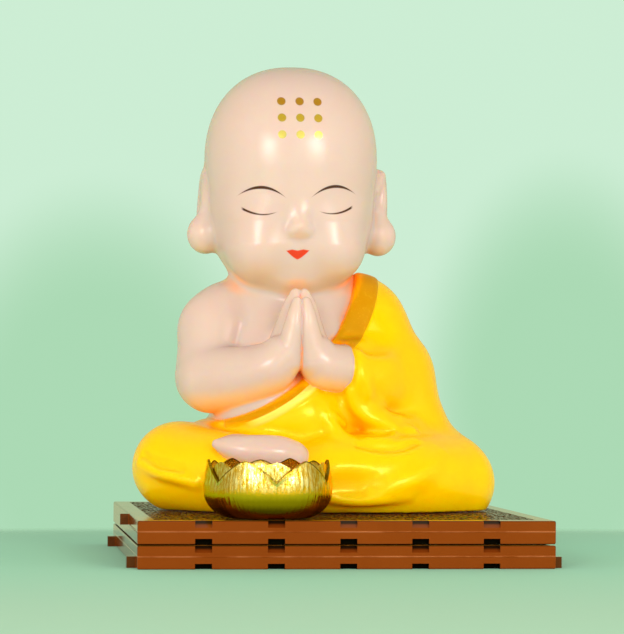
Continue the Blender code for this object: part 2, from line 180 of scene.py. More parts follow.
def smooth_route(points, radii, steps=10):
    """A curve through the points, each stretch the cubic that leaves with half the difference of
    its neighbours. The radius rides along as a fourth number."""
    stops = np.column_stack([np.array(points, float), np.array(radii, float)])
    if len(stops) < 3:
        return stops
    row = np.vstack([2 * stops[0] - stops[1], stops, 2 * stops[-1] - stops[-2]])
    a, b, c, d = (row[i:len(row) - 3 + i, None] for i in range(4))
    t = (np.arange(steps) / steps)[None, :, None]
    between = 0.5 * (
        2 * b + (c - a) * t + (2 * a - 5 * b + 4 * c - d) * t**2 + (3 * b - a - 3 * c + d) * t**3
    )
    return np.vstack([between.reshape(-1, 4), stops[-1]])


class Limb:
    """A rounded rod along a route. The distance is to the nearest point of each straight stretch,
    less the radius there."""

    def __init__(self, points, radii, blend=2.0):
        self.route, self.blend = smooth_route(points, radii), blend

    def box(self, margin):
        reach = self.route[:, 3:] + margin
        return (self.route[:, :3] - reach).min(0), (self.route[:, :3] + reach).max(0)

    def distance(self, x, y, z):
        nearest = None
        for start, end in zip(self.route[:-1], self.route[1:]):
            ax, ay, az = (end - start)[:3]
            px, py, pz = x - start[0], y - start[1], z - start[2]
            along = ((px * ax + py * ay + pz * az) / (ax**2 + ay**2 + az**2)).clip(0, 1)
            away = np.sqrt((px - along * ax) ** 2 + (py - along * ay) ** 2 + (pz - along * az) ** 2)
            gap = away - (start[3] + along * (end[3] - start[3]))
            nearest = gap if nearest is None else np.minimum(nearest, gap)
        return nearest


# %% Melting and carving
FAR = 50.0


def soft_min(a, b, blend):
    """The smaller of two distances, less h * h * blend / 4 where they are closer than blend."""
    near = np.maximum(blend - np.abs(a - b), 0.0) / blend
    return np.minimum(a, b) - near * near * blend * 0.25


def soft_max(a, b, blend):
    """The larger of two distances: the smaller of their negatives, turned back."""
    return -soft_min(-a, -b, blend)


def melt(space, forms, start=None):
    """Melt forms into the start field, each only in the block that it can reach."""
    field = np.full(space.shape, FAR, np.float32) if start is None else start.copy()
    for form in forms:
        block = space.block(*form.box(max(4.0, 1.6 * form.blend)))
        distance = form.distance(*space.points(block)).astype(np.float32)
        field[block] = soft_min(field[block], distance, form.blend)
    return field


def carve(space, forms, start):
    """Press forms into the start field, as a tool presses a groove into clay."""
    field = start.copy()
    for form in forms:
        block = space.block(*form.box(max(3.0, 1.6 * form.blend)))
        distance = form.distance(*space.points(block)).astype(np.float32)
        field[block] = soft_max(field[block], -distance, form.blend)
    return field


def both(make):
    """The same form on the figure's two sides."""
    return [make(-1), make(1)]


# %% [markdown]
# ## The figure's forms
# All of them are in millimetres from the middle of the figure's foot. The numbers for the large
# masses are the solid's own; the small ones (nose, ears, fingers, folds, hems) only show from
# close up, so they are made here.

# %% Head and ears
HEAD = [
    Ball((0, 2, 92.8), (23.2, 23.0, 25.7), fullness=2.25),
    Ball((0, -0.5, 75.8), (21.2, 19.2, 17.9), fullness=2.15, blend=5),
    Ball((0, 4.5, 77.5), (20.0, 17.6, 16.5), blend=5),
    *both(lambda s: Limb([(s * 9.2, -10.4, 75.3), (s * 9.0, -10.9, 69.3)], (8.4, 9.2), blend=4)),
    Ball((0, -12.2, 62.8), (6.6, 4.6, 4.8), blend=4),
    Ball((0, -15.0, 68.2), (6.0, 3.4, 4.6), blend=3),
    Limb([(0, -17.6, 80.0), (0, -19.0, 76.4), (0, -19.7, 74.4)], (1.1, 1.5, 1.8), blend=3),
    *both(lambda s: Ball((s * 1.8, -18.9, 73.4), (1.3, 1.5, 1.1), blend=1.5)),
]
EARS = [
    *both(lambda s: Ball((s * 22.8 + 1.0, 3.5, 82.8), (2.4, 5.0, 8.4), turn=(0, 0, s * 14))),
    *both(lambda s: Limb(
        [(s * 21.7 + 0.8, -1.2, 85.5), (s * 23.0 + 1.1, 1, 89.4), (s * 23.7 + 1.2, 4.4, 88.4),
         (s * 24.3 + 1.2, 5.6, 83.5), (s * 24.2 + 0.8, 3.8, 78)],
        (1.5, 1.6, 1.7, 1.6, 1.8), blend=1.0)),
    *both(lambda s: Limb(
        [(s * 23.0 + 1.0, 0.0, 86.5), (s * 23.5 + 1.0, 1.0, 83.5), (s * 23.4 + 0.8, 0.2, 80)],
        (0.9, 1.0, 0.9), blend=0.8)),
    *both(lambda s: Ball((s * 23.4 + 0.4, 0.8, 73.2), (4.9, 4.6, 5.3))),
    *both(lambda s: Limb(
        [(s * 22.2 + 0.3, 0, 83), (s * 22.8 + 0.3, 0.6, 79), (s * 23.2 + 0.4, 0.8, 74)],
        (1.6, 2.2, 3.6), blend=1.2)),
]
print(len(HEAD), "forms in the head,", len(EARS), "in the ears")

# %% Trunk, bare arm and hands
TRUNK = [
    Limb([(0, 2, 48), (0, 2, 62)], (15, 13), blend=3),
    Ball((0.5, 2, 38), (23, 17.5, 23), blend=4),
    Ball((0, -5.5, 24), (20.5, 18.5, 15), blend=4),
    Ball((2, 8, 15), (27, 21, 18), blend=5),
    Limb([(-5, 2, 54.5), (-16.5, 1.2, 51.6)], (9.5, 9.2), blend=3),
    Limb([(5, 2, 54.5), (15, 1.2, 52.5)], (9.5, 9.0), blend=3),
]
BARE_ARM = [
    Ball((-18.6, 0.5, 48.3), (10.9, 10.5, 10.8), blend=4),
    Limb([(-19.5, 0, 46), (-22.0, -5, 35)], (10.4, 9.3), blend=3),
    Limb([(-21.8, -8, 34.3), (-14.5, -15, 35.0), (-8.0, -20, 37.2), (-4.6, -21.5, 40.5)],
         (9.0, 8.0, 6.9, 5.6), blend=1.2),
]
WRIST = Limb([(13, -17.4, 37.0), (6.8, -20.5, 38.0), (4.2, -21.5, 41.0)], (6.4, 6.2, 5.2), blend=1)


def hand(s):
    """One palm with its fingers in two rows: a back row that ends highest, and a front row."""
    return [
        Limb([(s * 3.8, -18.0, 42.0), (s * 2.7, -19.5, 48), (s * 1.9, -20.6, 53.0),
              (s * 1.1, -20.8, 56.6)], (4.7, 3.6, 2.7, 1.6), blend=1.5),
        Limb([(s * 3.4, -22.5, 39.5), (s * 2.3, -24.0, 45.5), (s * 1.6, -24.6, 51),
              (s * 1.1, -24.4, 54.4)], (4.3, 3.1, 2.2, 1.5), blend=0.7),
    ]


HANDS = [hand(-1), [WRIST, *hand(1)]]

# %% Robe and legs
COVERED_SHOULDER = [
    Ball((18.3, 1.0, 49.3), (12.8, 11.2, 12.4), blend=4),
    Limb([(18.5, 1, 49), (25.4, -1, 37)], (11.8, 12.6), blend=4),
    Limb([(26.4, 0, 31), (33, -4, 15)], (12.4, 12.2), blend=6),
    Limb([(15, 9, 46), (22, 11, 30), (28, 10, 16)], (9, 12, 13), blend=6),
    Ball((13, 7, 34), (18.5, 16, 21.5), blend=6),
]
SLEEVE = [Limb([(23.6, -4, 34), (17.5, -13, 35.0), (9.0, -19.5, 37.6)], (11.6, 10.0, 7.5))]
DRAPE = [
    Limb([(14.6, -20.5, 32.5), (17.5, -20.0, 26.5), (22.5, -19.0, 22.8), (30, -15, 21.2)],
         (2.4, 3.6, 3.8, 3.2), blend=3),
    Limb([(15.6, -21.5, 40.5), (16.6, -22.2, 35.5), (17.2, -21.6, 30.5)], (1.3, 1.7, 1.6)),
]
LEGS = [
    Ball((2, 6, 9.5), (37, 25, 15), fullness=2.3, blend=5),
    Limb([(-30.8, -9, 11.3), (-20, -19, 9.8), (-6, -23.0, 9.0)], (11.7, 11.0, 10.4), blend=4),
    Limb([(41.8, -10, 7.2), (28, -20, 8.6), (8, -23.5, 9.4)], (12.2, 11.8, 10.6), blend=4),
    Ball((-20, 0, 10), (21, 18, 12.5), blend=5),
    Ball((30, 0, 10), (20.5, 19, 14.5), blend=6),
]
FOLDS = [
    Limb([(6.5, -22.6, 26.5), (8.6, -24.5, 22.0), (11.5, -26.0, 18.4)], (1.2, 1.7, 1.2), blend=3),
    Limb([(-40.5, -14, 12.2), (-36.8, -19.8, 10.2), (-32.4, -24, 9), (-27.5, -26.8, 7.4)],
         (0.8, 1.5, 1.5, 0.8), blend=2.4),
    Limb([(5, -32.4, 4.4), (12, -32.6, 3.4), (19, -32.6, 3.6), (27, -30.8, 4.6)],
         (0.8, 1.3, 1.3, 0.8), blend=2.5),
    Limb([(17, -32.2, 5.8), (23, -31.8, 6.8), (28.5, -30.6, 8.6), (33, -28.2, 11.6),
          (36, -24.4, 14.4)], (0.8, 1.6, 1.8, 1.6, 0.8), blend=3.5),
    Limb([(17, 9.5, 50), (9, 18.2, 40), (-3, 20.2, 30), (-15, 18.5, 24)],
         (1.6, 2.2, 2.2, 1.4), blend=3),
    Limb([(24, 13.5, 42), (19, 19.6, 32), (8, 25.2, 22), (-6, 26.5, 16)],
         (1.8, 2.4, 2.4, 1.4), blend=3),
    Limb([(33, 14, 28), (28, 22, 18), (15, 28, 10)], (1.6, 2.4, 1.6), blend=3),
]
HEMS = [
    Limb([(13.2, -22.6, 31.6), (15.0, -22.4, 27.2), (18.0, -22.6, 24.5), (22.6, -22.0, 22.9),
          (25.3, -21.6, 21.4), (25.2, -22.8, 19.7), (22.0, -26.4, 18.6), (17.2, -27.0, 18.6)],
         (0.9, 1.1, 1.1, 1.1, 1.1, 1.0, 0.9, 0.6), blend=1.5),
    Limb([(15.2, -22.6, 38.0), (16.2, -23.4, 34.6), (17.4, -23.0, 31.2)], (0.9, 1.3, 0.9), blend=2),
    Limb([(7.4, -24.2, 25.6), (9.4, -23.0, 24.0), (11.4, -21.6, 22.8)], (0.6, 1.0, 0.7), blend=1.2),
    Ball((28.6, -20.2, 20.8), (2.6, 1.6, 1.6), blend=2),
    Limb([(-12.4, -20.4, 22.9), (-9.7, -22.2, 24.6), (-6.7, -23.2, 26.2), (-2.5, -23.4, 28.2),
          (1.4, -22.8, 30.2), (4, -21.8, 31.5)], (0.5, 1.0, 1.2, 1.2, 1.0, 0.5), blend=1.2),
]
CREASES = [
    Limb([(14.5, -29.4, 17.6), (20, -30.0, 16.9), (25.5, -29.2, 17.0), (30, -26.4, 18.2)],
         (0.5, 0.9, 0.9, 0.4), blend=2.2),
    Limb([(-40.0, -15.4, 14.2), (-36.4, -20.8, 12.4), (-31.4, -25.2, 11.2)],
         (0.2, 0.6, 0.2), blend=2.2),
    Ball((12.5, -38.0, 8.0), (8.0, 4.6, 3.4), blend=3),
    Ball((20.8, -17.9, 44.0), (5.0, 2.4, 2.2), turn=(0, -12, 32), blend=4),
]
FOOT = [
    Limb([(-22.3, -29.4, 17.6), (-19.0, -30.2, 16.8), (-14, -30.6, 15.8), (-7, -30.2, 15.2),
          (-3.0, -29.2, 14.2)], (1.3, 2.8, 4.2, 4.7, 4.5), blend=1),
    Ball((-16.8, -27.2, 17.6), (5.0, 2.8, 2.6), blend=2),
]

# %% [markdown]
# ## Laying the robe on the body
# The robe is the trunk's own field, moved out by the cloth's thickness and melted with the
# covered shoulder. A round bore from front to back cuts it open over the bare shoulder. The
# collar band runs along that edge, broad on the shoulder and narrow where it crosses the belly.
# The two hands are each cut off at the middle and then joined, which leaves a seam between.

# %% The layers, innermost first
CLOTH = 0.8
BAND = 0.4
OPENING = (-32.7, 72.6, 51.1)
CUFF_AT = np.array([11.6, -17.4, 37.6])
CUFF_FACING = unit([-0.90, -0.42, 0.08])


def bore(space, circle):
    """Distance to a round bore along Y: the distance from its axis, less its radius."""
    x, _, z = space.points(whole(space))
    return np.hypot(x - circle[0], z - circle[1]) - circle[2]


def smooth_step(value, low, high):
    """3 t t - 2 t t t, where t goes from 0 at low to 1 at high."""
    t = ((value - low) / (high - low)).clip(0, 1)
    return t * t * (3 - 2 * t)


def layers(space):
    """Every field of the figure: its surface, and the parts that decide the paint."""
    x, y, z = space.points(whole(space))
    bare = -bore(space, OPENING)
    past_band = np.maximum(-bare - 1.9 - 4.2 * smooth_step(z, 38, 46), -19.0 - x)
    past_cuff = sum(n * (v - p) for n, v, p in zip(CUFF_FACING, (x, y, z), CUFF_AT))
    trunk = melt(space, TRUNK)
    wrap = melt(space, COVERED_SHOULDER, trunk - CLOTH)
    shell = soft_max(wrap, bare, 0.8)
    band = soft_max(soft_max(wrap - BAND, bare, 1.4), past_band, 0.8)
    sleeve = soft_max(melt(space, SLEEVE), past_cuff, 1.4)
    robe = melt(space, DRAPE, soft_min(shell, sleeve, 3.0))
    robe = soft_min(robe, melt(space, LEGS + FOLDS), 3.0)
    robe = carve(space, CREASES, melt(space, HEMS, robe))
    skin = soft_min(melt(space, HEAD + EARS, trunk), melt(space, BARE_ARM), 1.5)
    left, right = (melt(space, forms) for forms in HANDS)
    hands = soft_min(soft_max(left, x, 0.5), soft_max(right, -x, 0.5), 0.4)
    skin = soft_min(skin, hands, 0.5)
    skin = soft_min(skin, melt(space, FOOT), 1.0)
    cloth = soft_min(robe, band, 0.6)
    surface = np.maximum(soft_min(skin, cloth, 0.5), -z)
    return {"surface": surface, "skin": skin, "cloth": cloth, "past_band": past_band + 0 * skin}


# %% [markdown]
# ## From field to mesh
# Surface nets put one point in each cell that the surface passes through, at the mean of the
# places where it crosses the cell's edges, and one face across each crossed edge. Every step
# is one array sum. A few steps down the field's slope then bring each point onto the surface.

# %% Surface nets
def edge_crossings(field, cells, corner_a, corner_b):
    """Where the surface crosses one edge of each cell: a / (a - b) of the way along it."""
    a, b = field[tuple((cells + corner_a).T)], field[tuple((cells + corner_b).T)]
    crossed = (a < 0) != (b < 0)
    share = np.where(crossed, a / np.where(crossed, a - b, 1.0), 0.0)
    return crossed, corner_a + share[:, None] * (np.array(corner_b) - corner_a)


def surface_nets(field, space):
    """Points and four-sided faces of the zero surface of a field on a Grid."""
    inside = field < 0
    n = np.array(field.shape)
    corners = np.array([(i, j, k) for i in (0, 1) for j in (0, 1) for k in (0, 1)])
    filled = sum(
        inside[i:n[0] - 1 + i, j:n[1] - 1 + j, k:n[2] - 1 + k].astype(np.int8) for i, j, k in corners
    )
    mixed = (filled > 0) & (filled < 8)
    cells = np.argwhere(mixed)
    index = np.full(mixed.shape, -1, np.int64)
    index[mixed] = np.arange(len(cells))
    total, times = np.zeros((len(cells), 3)), np.zeros(len(cells))
    for a in corners:
        for b in corners[(corners >= a).all(1) & ((corners - a).sum(1) == 1)]:
            crossed, place = edge_crossings(field, cells, a, b)
            total += place * crossed[:, None]
            times += crossed
    points = (cells + total / times[:, None]) * space.step + space.low
    return points, np.concatenate([faces_across(inside, index, axis) for axis in range(3)])


def faces_across(inside, index, axis):
    """One face for each lattice edge along an axis whose ends lie on different sides, through the
    four cells round that edge, turned so that it faces outwards."""
    n = np.array(inside.shape)
    first = np.moveaxis(inside, axis, 0)[:-1]
    second = np.moveaxis(inside, axis, 0)[1:]
    changes = np.argwhere(np.moveaxis(first != second, 0, axis))
    side = np.eye(3, dtype=int)[[i for i in range(3) if i != axis]]
    rim_shade = [i for i in range(3) if i != axis]
    changes = changes[((changes[:, rim_shade] > 0) & (changes[:, rim_shade] < n[rim_shade] - 1)).all(1)]
    ring = [-side[0] - side[1], -side[1], 0 * side[0], -side[0]]
    faces = np.stack([index[tuple((changes + step).T)] for step in ring], 1)
    outward = inside[tuple(changes.T)] != (axis == 1)
    return np.where(outward[:, None], faces, faces[:, ::-1])


# %% Slopes, and settling the points on the surface
def slope_of(places, reach=0.12):
    """The field's slope at loose points: the difference of the field a little either side along
    X, Y and Z, over the distance between them."""
    sides = np.concatenate([places + s * reach * step for step in np.eye(3) for s in (1, -1)])
    values = layers(Cloud(sides))["surface"].reshape(3, 2, -1)
    return ((values[:, 0] - values[:, 1]) / (2 * reach)).T


def settle(places, steps=3):
    """Move each point down the slope by its distance over the slope's square, a few times."""
    for _ in range(steps):
        value = layers(Cloud(places))["surface"]
        slope = slope_of(places)
        move = value / np.maximum((slope**2).sum(1), 0.2)
        places = places - np.clip(move, -0.4, 0.4)[:, None] * slope
    return places


TILE_HALF, TILE_THICK, GAP = 52.0, 5.8, 0.3
BASE_TOP = 2 * (TILE_THICK + GAP)
FIGURE_AT = np.array([-7.3, 11.0, BASE_TOP])
CELL = 0.66
space = Grid((-45, -38, -2), (57, 34, 121), CELL)
field = layers(space)["surface"]
points, faces = surface_nets(field, space)
points = settle(points)
points[:, 2] = np.maximum(points[:, 2], 0.0)
normals = slope_of(points)
normals /= np.linalg.norm(normals, axis=1)[:, None] + 1e-9
print(len(points), "points and", 2 * len(faces), "triangles in the figure")

# %% [markdown]
# ## How hollow each place is
# The creases are painted orange and darker: partly the orange the maker sprays into every crease,
# partly painted shade. To find the creases, step outwards from each point and read the field: over a
# bulge it grows as fast as the step, and in a hollow it grows less.

# %% Measure the hollows
def hollowness(places, outward, steps=(1.2, 2.5, 5.0, 9.0)):
    """Mean over the steps of 1 - field / step, kept between 0 and 1."""
    total = np.zeros(len(places))
    for step in steps:
        reached = layers(Cloud(places + outward * step))["surface"]
        total += (1 - reached / step).clip(0, 1)
    return total / len(steps)


hollow = hollowness(points, normals)
zones = layers(Cloud(points))
print("hollowness: mean", hollow.mean().round(3), "largest", hollow.max().round(3))

# %% [markdown]
# ## Making the mesh
# The points become one closed mesh in metres. What the paint needs rides along as attributes,
# one number for each point, and the field's slope gives exact normals, so that the lacquer's
# highlights run smoothly.

# %% Build the figure
def make_mesh(name, places, polygons, attributes=None):
    """A smooth mesh object at the origin, from points in millimetres and each face's corners."""
    mesh = bpy.data.meshes.new(name)
    mesh.from_pydata((places * MM).tolist(), [], polygons)
    for label, values in (attributes or {}).items():
        layer = mesh.attributes.new(label, "FLOAT", "POINT")
        layer.data.foreach_set("value", np.asarray(values, np.float32))
    mesh.polygons.foreach_set("use_smooth", np.ones(len(polygons), bool))
    mesh.validate()
    mesh.update()
    made = bpy.data.objects.new(name, mesh)
    bpy.context.scene.collection.objects.link(made)
    return made


monk = make_mesh("monk", points + FIGURE_AT, faces.tolist(), {
    "cloth": (zones["skin"] - zones["cloth"]).clip(-3, 3),
    "band": -zones["past_band"].clip(-3, 3),
    "hollow": hollow,
})
monk.data.normals_split_custom_set_from_vertices(normals.tolist())
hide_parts("monk_figure")
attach(monk, "root")

# %% [markdown]
# ## The offering bowl
# It is a cup of six outer petals with six more just inside them, half a petal round. Each
# half section is a profile, and the whole bowl is that profile carried round a circle while
# the rims rise and dip. Fine ribs run up every petal.

# %% Petal rims and ribs
BOWL_AT = np.array([-18.9, -41.3, BASE_TOP])
FOOT_R, BELLY_R, TIP_R = 10.4, 16.1, 15.6
BOWL_HIGH, BOWL_FLOOR = 14.4, 0.7
BELLY_SHARE = 0.45
PETALS = 6
PETAL_TURN = math.radians(31.5)
PETAL_DIP, PETAL_SHARPNESS = 5.3, 1.35
INNER_DIP, INNER_SHARPNESS, INNER_DROP = 5.0, 1.6, 0.4
OUTER_IN, STEP_IN, INSIDE_IN = 0.5, 1.0, 1.6


def petal_wave(angle, offset):
    """0 at a petal's tip and 1 at the dip beside it: twice the distance to the nearest tip, with
    one petal counted as 1 round."""
    share = (angle / (2 * math.pi) * PETALS + offset) % 1.0
    return np.abs(share - np.round(share)) * 2


def bowl_radius(share):
    """Foot, belly and tip: a quarter of a circle raised to the power 1.2 up to the belly, then a
    parabola in to the tip."""
    below = 1 - np.minimum(share / BELLY_SHARE, 1)
    low = FOOT_R + (BELLY_R - FOOT_R) * np.sqrt(1 - below**2) ** 1.2
    rise = np.maximum(share - BELLY_SHARE, 0) / (1 - BELLY_SHARE)
    return low - (BELLY_R - TIP_R) * rise**2


def ring_mesh(profiles):
    """Points and faces of profiles set round a ring. Rows run round, columns up the profile."""
    around, along = profiles.shape[:2]
    number = np.arange(around * along).reshape(around, along)
    here, there = number, np.roll(number, -1, axis=0)
    quads = np.stack([here[:, :-1], there[:, :-1], there[:, 1:], here[:, 1:]], -1).reshape(-1, 4)
    return profiles.reshape(-1, 3), quads


def ribs(angle):
    """Uneven upright ribs: three cosines whose numbers of waves share no factor."""
    return (0.022 * np.cos(53 * angle + 0.8 * np.sin(6 * angle))
            + 0.016 * np.cos(79 * angle + 1.3) + 0.009 * np.cos(127 * angle + 0.4))


def bowl_profiles(around=720, rises=30):
    """Every half section at once: up outside, up the inner petals that show above the outer
    rim, and down inside. Each point's distance from its own rim goes with them."""
    angle = np.arange(around) / around * 2 * math.pi
    outer_dip, inner_dip = petal_wave(angle, 0.0), petal_wave(angle, 0.5)
    outer_top = BOWL_HIGH - PETAL_DIP * outer_dip**PETAL_SHARPNESS
    inner_top = BOWL_HIGH - INNER_DROP - INNER_DIP * inner_dip**INNER_SHARPNESS
    climb = np.linspace(0, 1, rises) ** 1.25
    up_outer = outer_top[:, None] * climb
    lift = np.linspace(0, 1, 7)[None, :]
    up_step = outer_top[:, None] + (inner_top - outer_top)[:, None] * lift
    up_inner = BOWL_FLOOR + (inner_top[:, None] - BOWL_FLOOR) * climb[::-1]
    belly_only = np.sin(climb * math.pi)[None, :]
    swell = 0.45 * (1 - outer_dip[:, None] ** 2) * belly_only
    lip = 0.16 * np.exp(-(((outer_top[:, None] - up_outer) - 0.25) / 0.3) ** 2)
    relief = swell + lip + ribs(angle)[:, None] * belly_only
    r_outer = bowl_radius(up_outer / BOWL_HIGH) - OUTER_IN + relief
    r_step = bowl_radius(up_step / BOWL_HIGH) - STEP_IN + 0.6 * ribs(angle + 0.3)[:, None]
    thinning = 0.5 * smooth_step(up_inner - inner_top[:, None], -3.0, 0.0)
    r_inner = bowl_radius(up_inner / BOWL_HIGH) - INSIDE_IN + thinning
    radius = np.concatenate([r_outer, r_step, r_inner], 1)
    height = np.concatenate([up_outer, up_step, up_inner], 1)
    turn = (angle + PETAL_TURN)[:, None]
    edge = np.abs(height - outer_top[:, None])
    edge[:, -rises:] = np.abs(up_inner - inner_top[:, None])
    return np.stack([radius * np.sin(turn), -radius * np.cos(turn), height], -1), edge


def close_ends(places, quads, around, along):
    """Close the foot with one point under the middle, and the inside with one on the floor."""
    under, inner = len(places), len(places) + 1
    places = np.vstack([places, [(0, 0, 0), (0, 0, BOWL_FLOOR)]])
    first = np.arange(around) * along
    last = first + along - 1
    foot = np.stack([np.full(around, under), np.roll(first, -1), first], 1)
    cup = np.stack([np.full(around, inner), last, np.roll(last, -1)], 1)
    return places, [*quads.tolist(), *foot.tolist(), *cup.tolist()]


profiles, edge = bowl_profiles()
places, quads = ring_mesh(profiles)
places, polygons = close_ends(places, quads, *profiles.shape[:2])
from_rim = np.append(edge.ravel(), (9.0, 9.0)).clip(0, 9)
bowl = make_mesh("offering_bowl", places + BOWL_AT, polygons, {"from_rim": from_rim})
bowl.data.set_sharp_from_angle(angle=math.radians(50))
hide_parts("lotus_bowl")
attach(bowl, "root")
print(len(polygons), "faces in the bowl")

# %% [markdown]
# ## A short way to write node patterns
# A painted pattern is a formula of the place on the surface. A Wire stands for one number in a
# material's node tree: adding or multiplying Wires adds the Math nodes that do the same, so a
# brow or a row of dots is written as it would be on paper.

# %% Wires
class Wire:
    """One number in a node tree."""

    def __init__(self, tree, socket):
        self.tree, self.socket = tree, socket

    def math(self, operation, *others):
        """A Math node that takes this number and the others."""
        node = self.tree.nodes.new("ShaderNodeMath")
        node.operation = operation
        for entry, value in zip(node.inputs, (self, *others)):
            plug(self.tree, value, entry)
        return Wire(self.tree, node.outputs[0])

    def __add__(self, other):
        return self.math("ADD", other)

    def __sub__(self, other):
        return self.math("SUBTRACT", other)

    def __rsub__(self, other):
        return (self * -1.0) + other

    def __mul__(self, other):
        return self.math("MULTIPLY", other)

    def __truediv__(self, other):
        return self.math("DIVIDE", other)

    def size(self):
        return self.math("ABSOLUTE")

    def power(self, other):
        return self.math("POWER", other)

    def least(self, other):
        return self.math("MINIMUM", other)

    def most(self, other):
        return self.math("MAXIMUM", other)

    def ramp(self, low, high):
        """0 below low, 1 above high, and a soft S between them."""
        node = self.tree.nodes.new("ShaderNodeMapRange")
        node.interpolation_type = "SMOOTHSTEP"
        plug(self.tree, self, node.inputs["Value"])
        flip = low > high
        node.inputs["From Min"].default_value = min(low, high)
        node.inputs["From Max"].default_value = max(low, high)
        node.inputs["To Min"].default_value = 1.0 if flip else 0.0
        node.inputs["To Max"].default_value = 0.0 if flip else 1.0
        return Wire(self.tree, node.outputs["Result"])


def plug(tree, value, entry):
    """Join a Wire to an input, or set the input to a plain number."""
    if isinstance(value, Wire):
        tree.links.new(value.socket, entry)
    elif hasattr(value, "__len__"):
        entry.default_value = (*value, 1.0)[:4]
    else:
        entry.default_value = value


def blend_colour(tree, share, below, above):
    """One colour over another, by a share from 0 to 1."""
    node = tree.nodes.new("ShaderNodeMix")
    node.data_type = "RGBA"
    plug(tree, share, node.inputs[0])
    plug(tree, below, node.inputs[6])
    plug(tree, above, node.inputs[7])
    return Wire(tree, node.outputs[2])


def new_material(name):
    """A fresh material, its tree, its shader and the place on the object in millimetres."""
    made = bpy.data.materials.new(name)
    made.use_nodes = True
    tree = made.node_tree
    spot = tree.nodes.new("ShaderNodeTexCoord")
    apart = tree.nodes.new("ShaderNodeSeparateXYZ")
    tree.links.new(spot.outputs["Object"], apart.inputs[0])
    place = [Wire(tree, out) / MM for out in apart.outputs]
    return made, tree, tree.nodes["Principled BSDF"], place, Wire(tree, spot.outputs["Object"])


def attribute(tree, name):
    """One of the numbers that ride along with the mesh."""
    node = tree.nodes.new("ShaderNodeAttribute")
    node.attribute_name = name
    return Wire(tree, node.outputs["Fac"])


def facing_down(tree):
    """How far the surface looks downwards: 1 straight down, 0 level or up."""
    spot = tree.nodes.new("ShaderNodeTexCoord")
    apart = tree.nodes.new("ShaderNodeSeparateXYZ")
    tree.links.new(spot.outputs["Normal"], apart.inputs[0])
    return (0.0 - Wire(tree, apart.outputs[2])).most(0.0)


def noise(tree, vector, scale, detail=2.0, roughness=0.5):
    """Cloudy noise from 0 to 1, with scale lumps to the metre."""
    node = tree.nodes.new("ShaderNodeTexNoise")
    plug(tree, vector, node.inputs["Vector"])
    node.inputs["Scale"].default_value = scale
    node.inputs["Detail"].default_value = detail
    node.inputs["Roughness"].default_value = roughness
    return Wire(tree, node.outputs["Fac"])


def raise_bump(tree, shader, height, distance):
    """Bump the shader's normal by a height from 0 to 1, that many metres high."""
    node = tree.nodes.new("ShaderNodeBump")
    node.inputs["Distance"].default_value = distance
    plug(tree, height, node.inputs["Height"])
    tree.links.new(node.outputs["Normal"], shader.inputs["Normal"])


# %% [markdown]
# ## The figure's paint
# The maker sprays the whole figure in a pale flesh lacquer, then masks and sprays the robe and its
# band, shades the hollows in orange, and brushes brows, lash lines, lips and the nine gold dots by
# hand. The order here is the same, one colour laid over another. Painted light is laid in too. The
# orange in the hollows is partly painted shade, and skin that faces down is painted warmer as bounce
# light. The robe is painted lighter low down, a painted highlight runs along the rolled edge on the
# belly, a painted shadow lies under the nose, and the dots are painted lighter row by row as a
# highlight.

# %% Brush strokes and ovals
def stroke(across, along, middle, reach, width, soft=0.12):
    """A tapered stroke: solid where the distance across it is under the width there, which falls
    from its full size at the middle to nothing at either end as 1 - (distance / reach) ** 2."""
    taper = 1.0 - ((along - middle) / reach).power(2.0)
    return (taper * width - across.size()).ramp(-soft, soft)


def oval(across, up, width, height):
    """How far out a point lies from the middle of an oval, squared: 1 on its edge."""
    return (across / width).power(2.0) + (up / height).power(2.0)


def parabola(along, spots):
    """The curve c + b x + a x x through three spots."""
    a, b, c = np.polyfit(*np.array(spots, float).T, 2)
    return (along * float(a) + float(b)) * along + float(c)


# %% Paint the figure
# The second flesh colour is painted warm bounce light on skin that faces down, and the third is
# painted shade. The second yellow paints the lower robe lighter as painted light. The orange is
# partly sprayed shading and partly painted shade.
FLESH, FLESH_BOUNCE_LIGHT, FLESH_SHADE = (0.575, 0.415, 0.34), (0.94, 0.52, 0.11), (0.94, 0.36, 0.10)
YELLOW, YELLOW_LOW_PAINTED_LIGHT, ORANGE = (0.88, 0.48, 0.0), (0.99, 0.55, 0.0), (0.98, 0.34, 0.0)
OCHRE, DARK_BROWN, VERMILION = (0.52, 0.225, 0.0), (0.06, 0.02, 0.008), (0.60, 0.03, 0.004)


def brushed_face(tree, x, z, front, skin):
    """Brows, lash lines and lips over the skin, as strokes in the plane of the face, and a soft
    painted shadow under the nose.
    """
    across, up = (x + 0.45).size(), z - x * 0.027
    brow = parabola(across, [(4.1, 82.6), (9.9, 84.9), (14.7, 83.6)])
    brow = stroke(up - brow, across, 9.5, 5.8, 0.40, 0.14)
    lash = up - parabola(across, [(6.1, 78.15), (9.3, 77.7), (14.35, 79.4)])
    ends = across.ramp(5.2, 7.0) * across.ramp(14.9, 14.1)
    lash = ((across - 4.0) * 0.034 - lash.size()).ramp(-0.14, 0.14) * ends
    # A soft tan arc under the nose: a painted shadow.
    under_nose_shadow = stroke(up - 71.3, across, 0.0, 4.2, 0.3, 0.6) * 0.12
    lip_top = 68.5 - (across - 1.5).size() * 0.2
    lip_low = across.power(1.35) * 0.51 + 65.8
    lips = (lip_top - up).least(up - lip_low).ramp(-0.12, 0.22)
    face = blend_colour(tree, under_nose_shadow * front, skin, (0.52, 0.24, 0.12))
    face = blend_colour(tree, brow * front, face, DARK_BROWN)
    face = blend_colour(tree, lash * front, face, DARK_BROWN)
    return blend_colour(tree, lips * front, face, VERMILION)


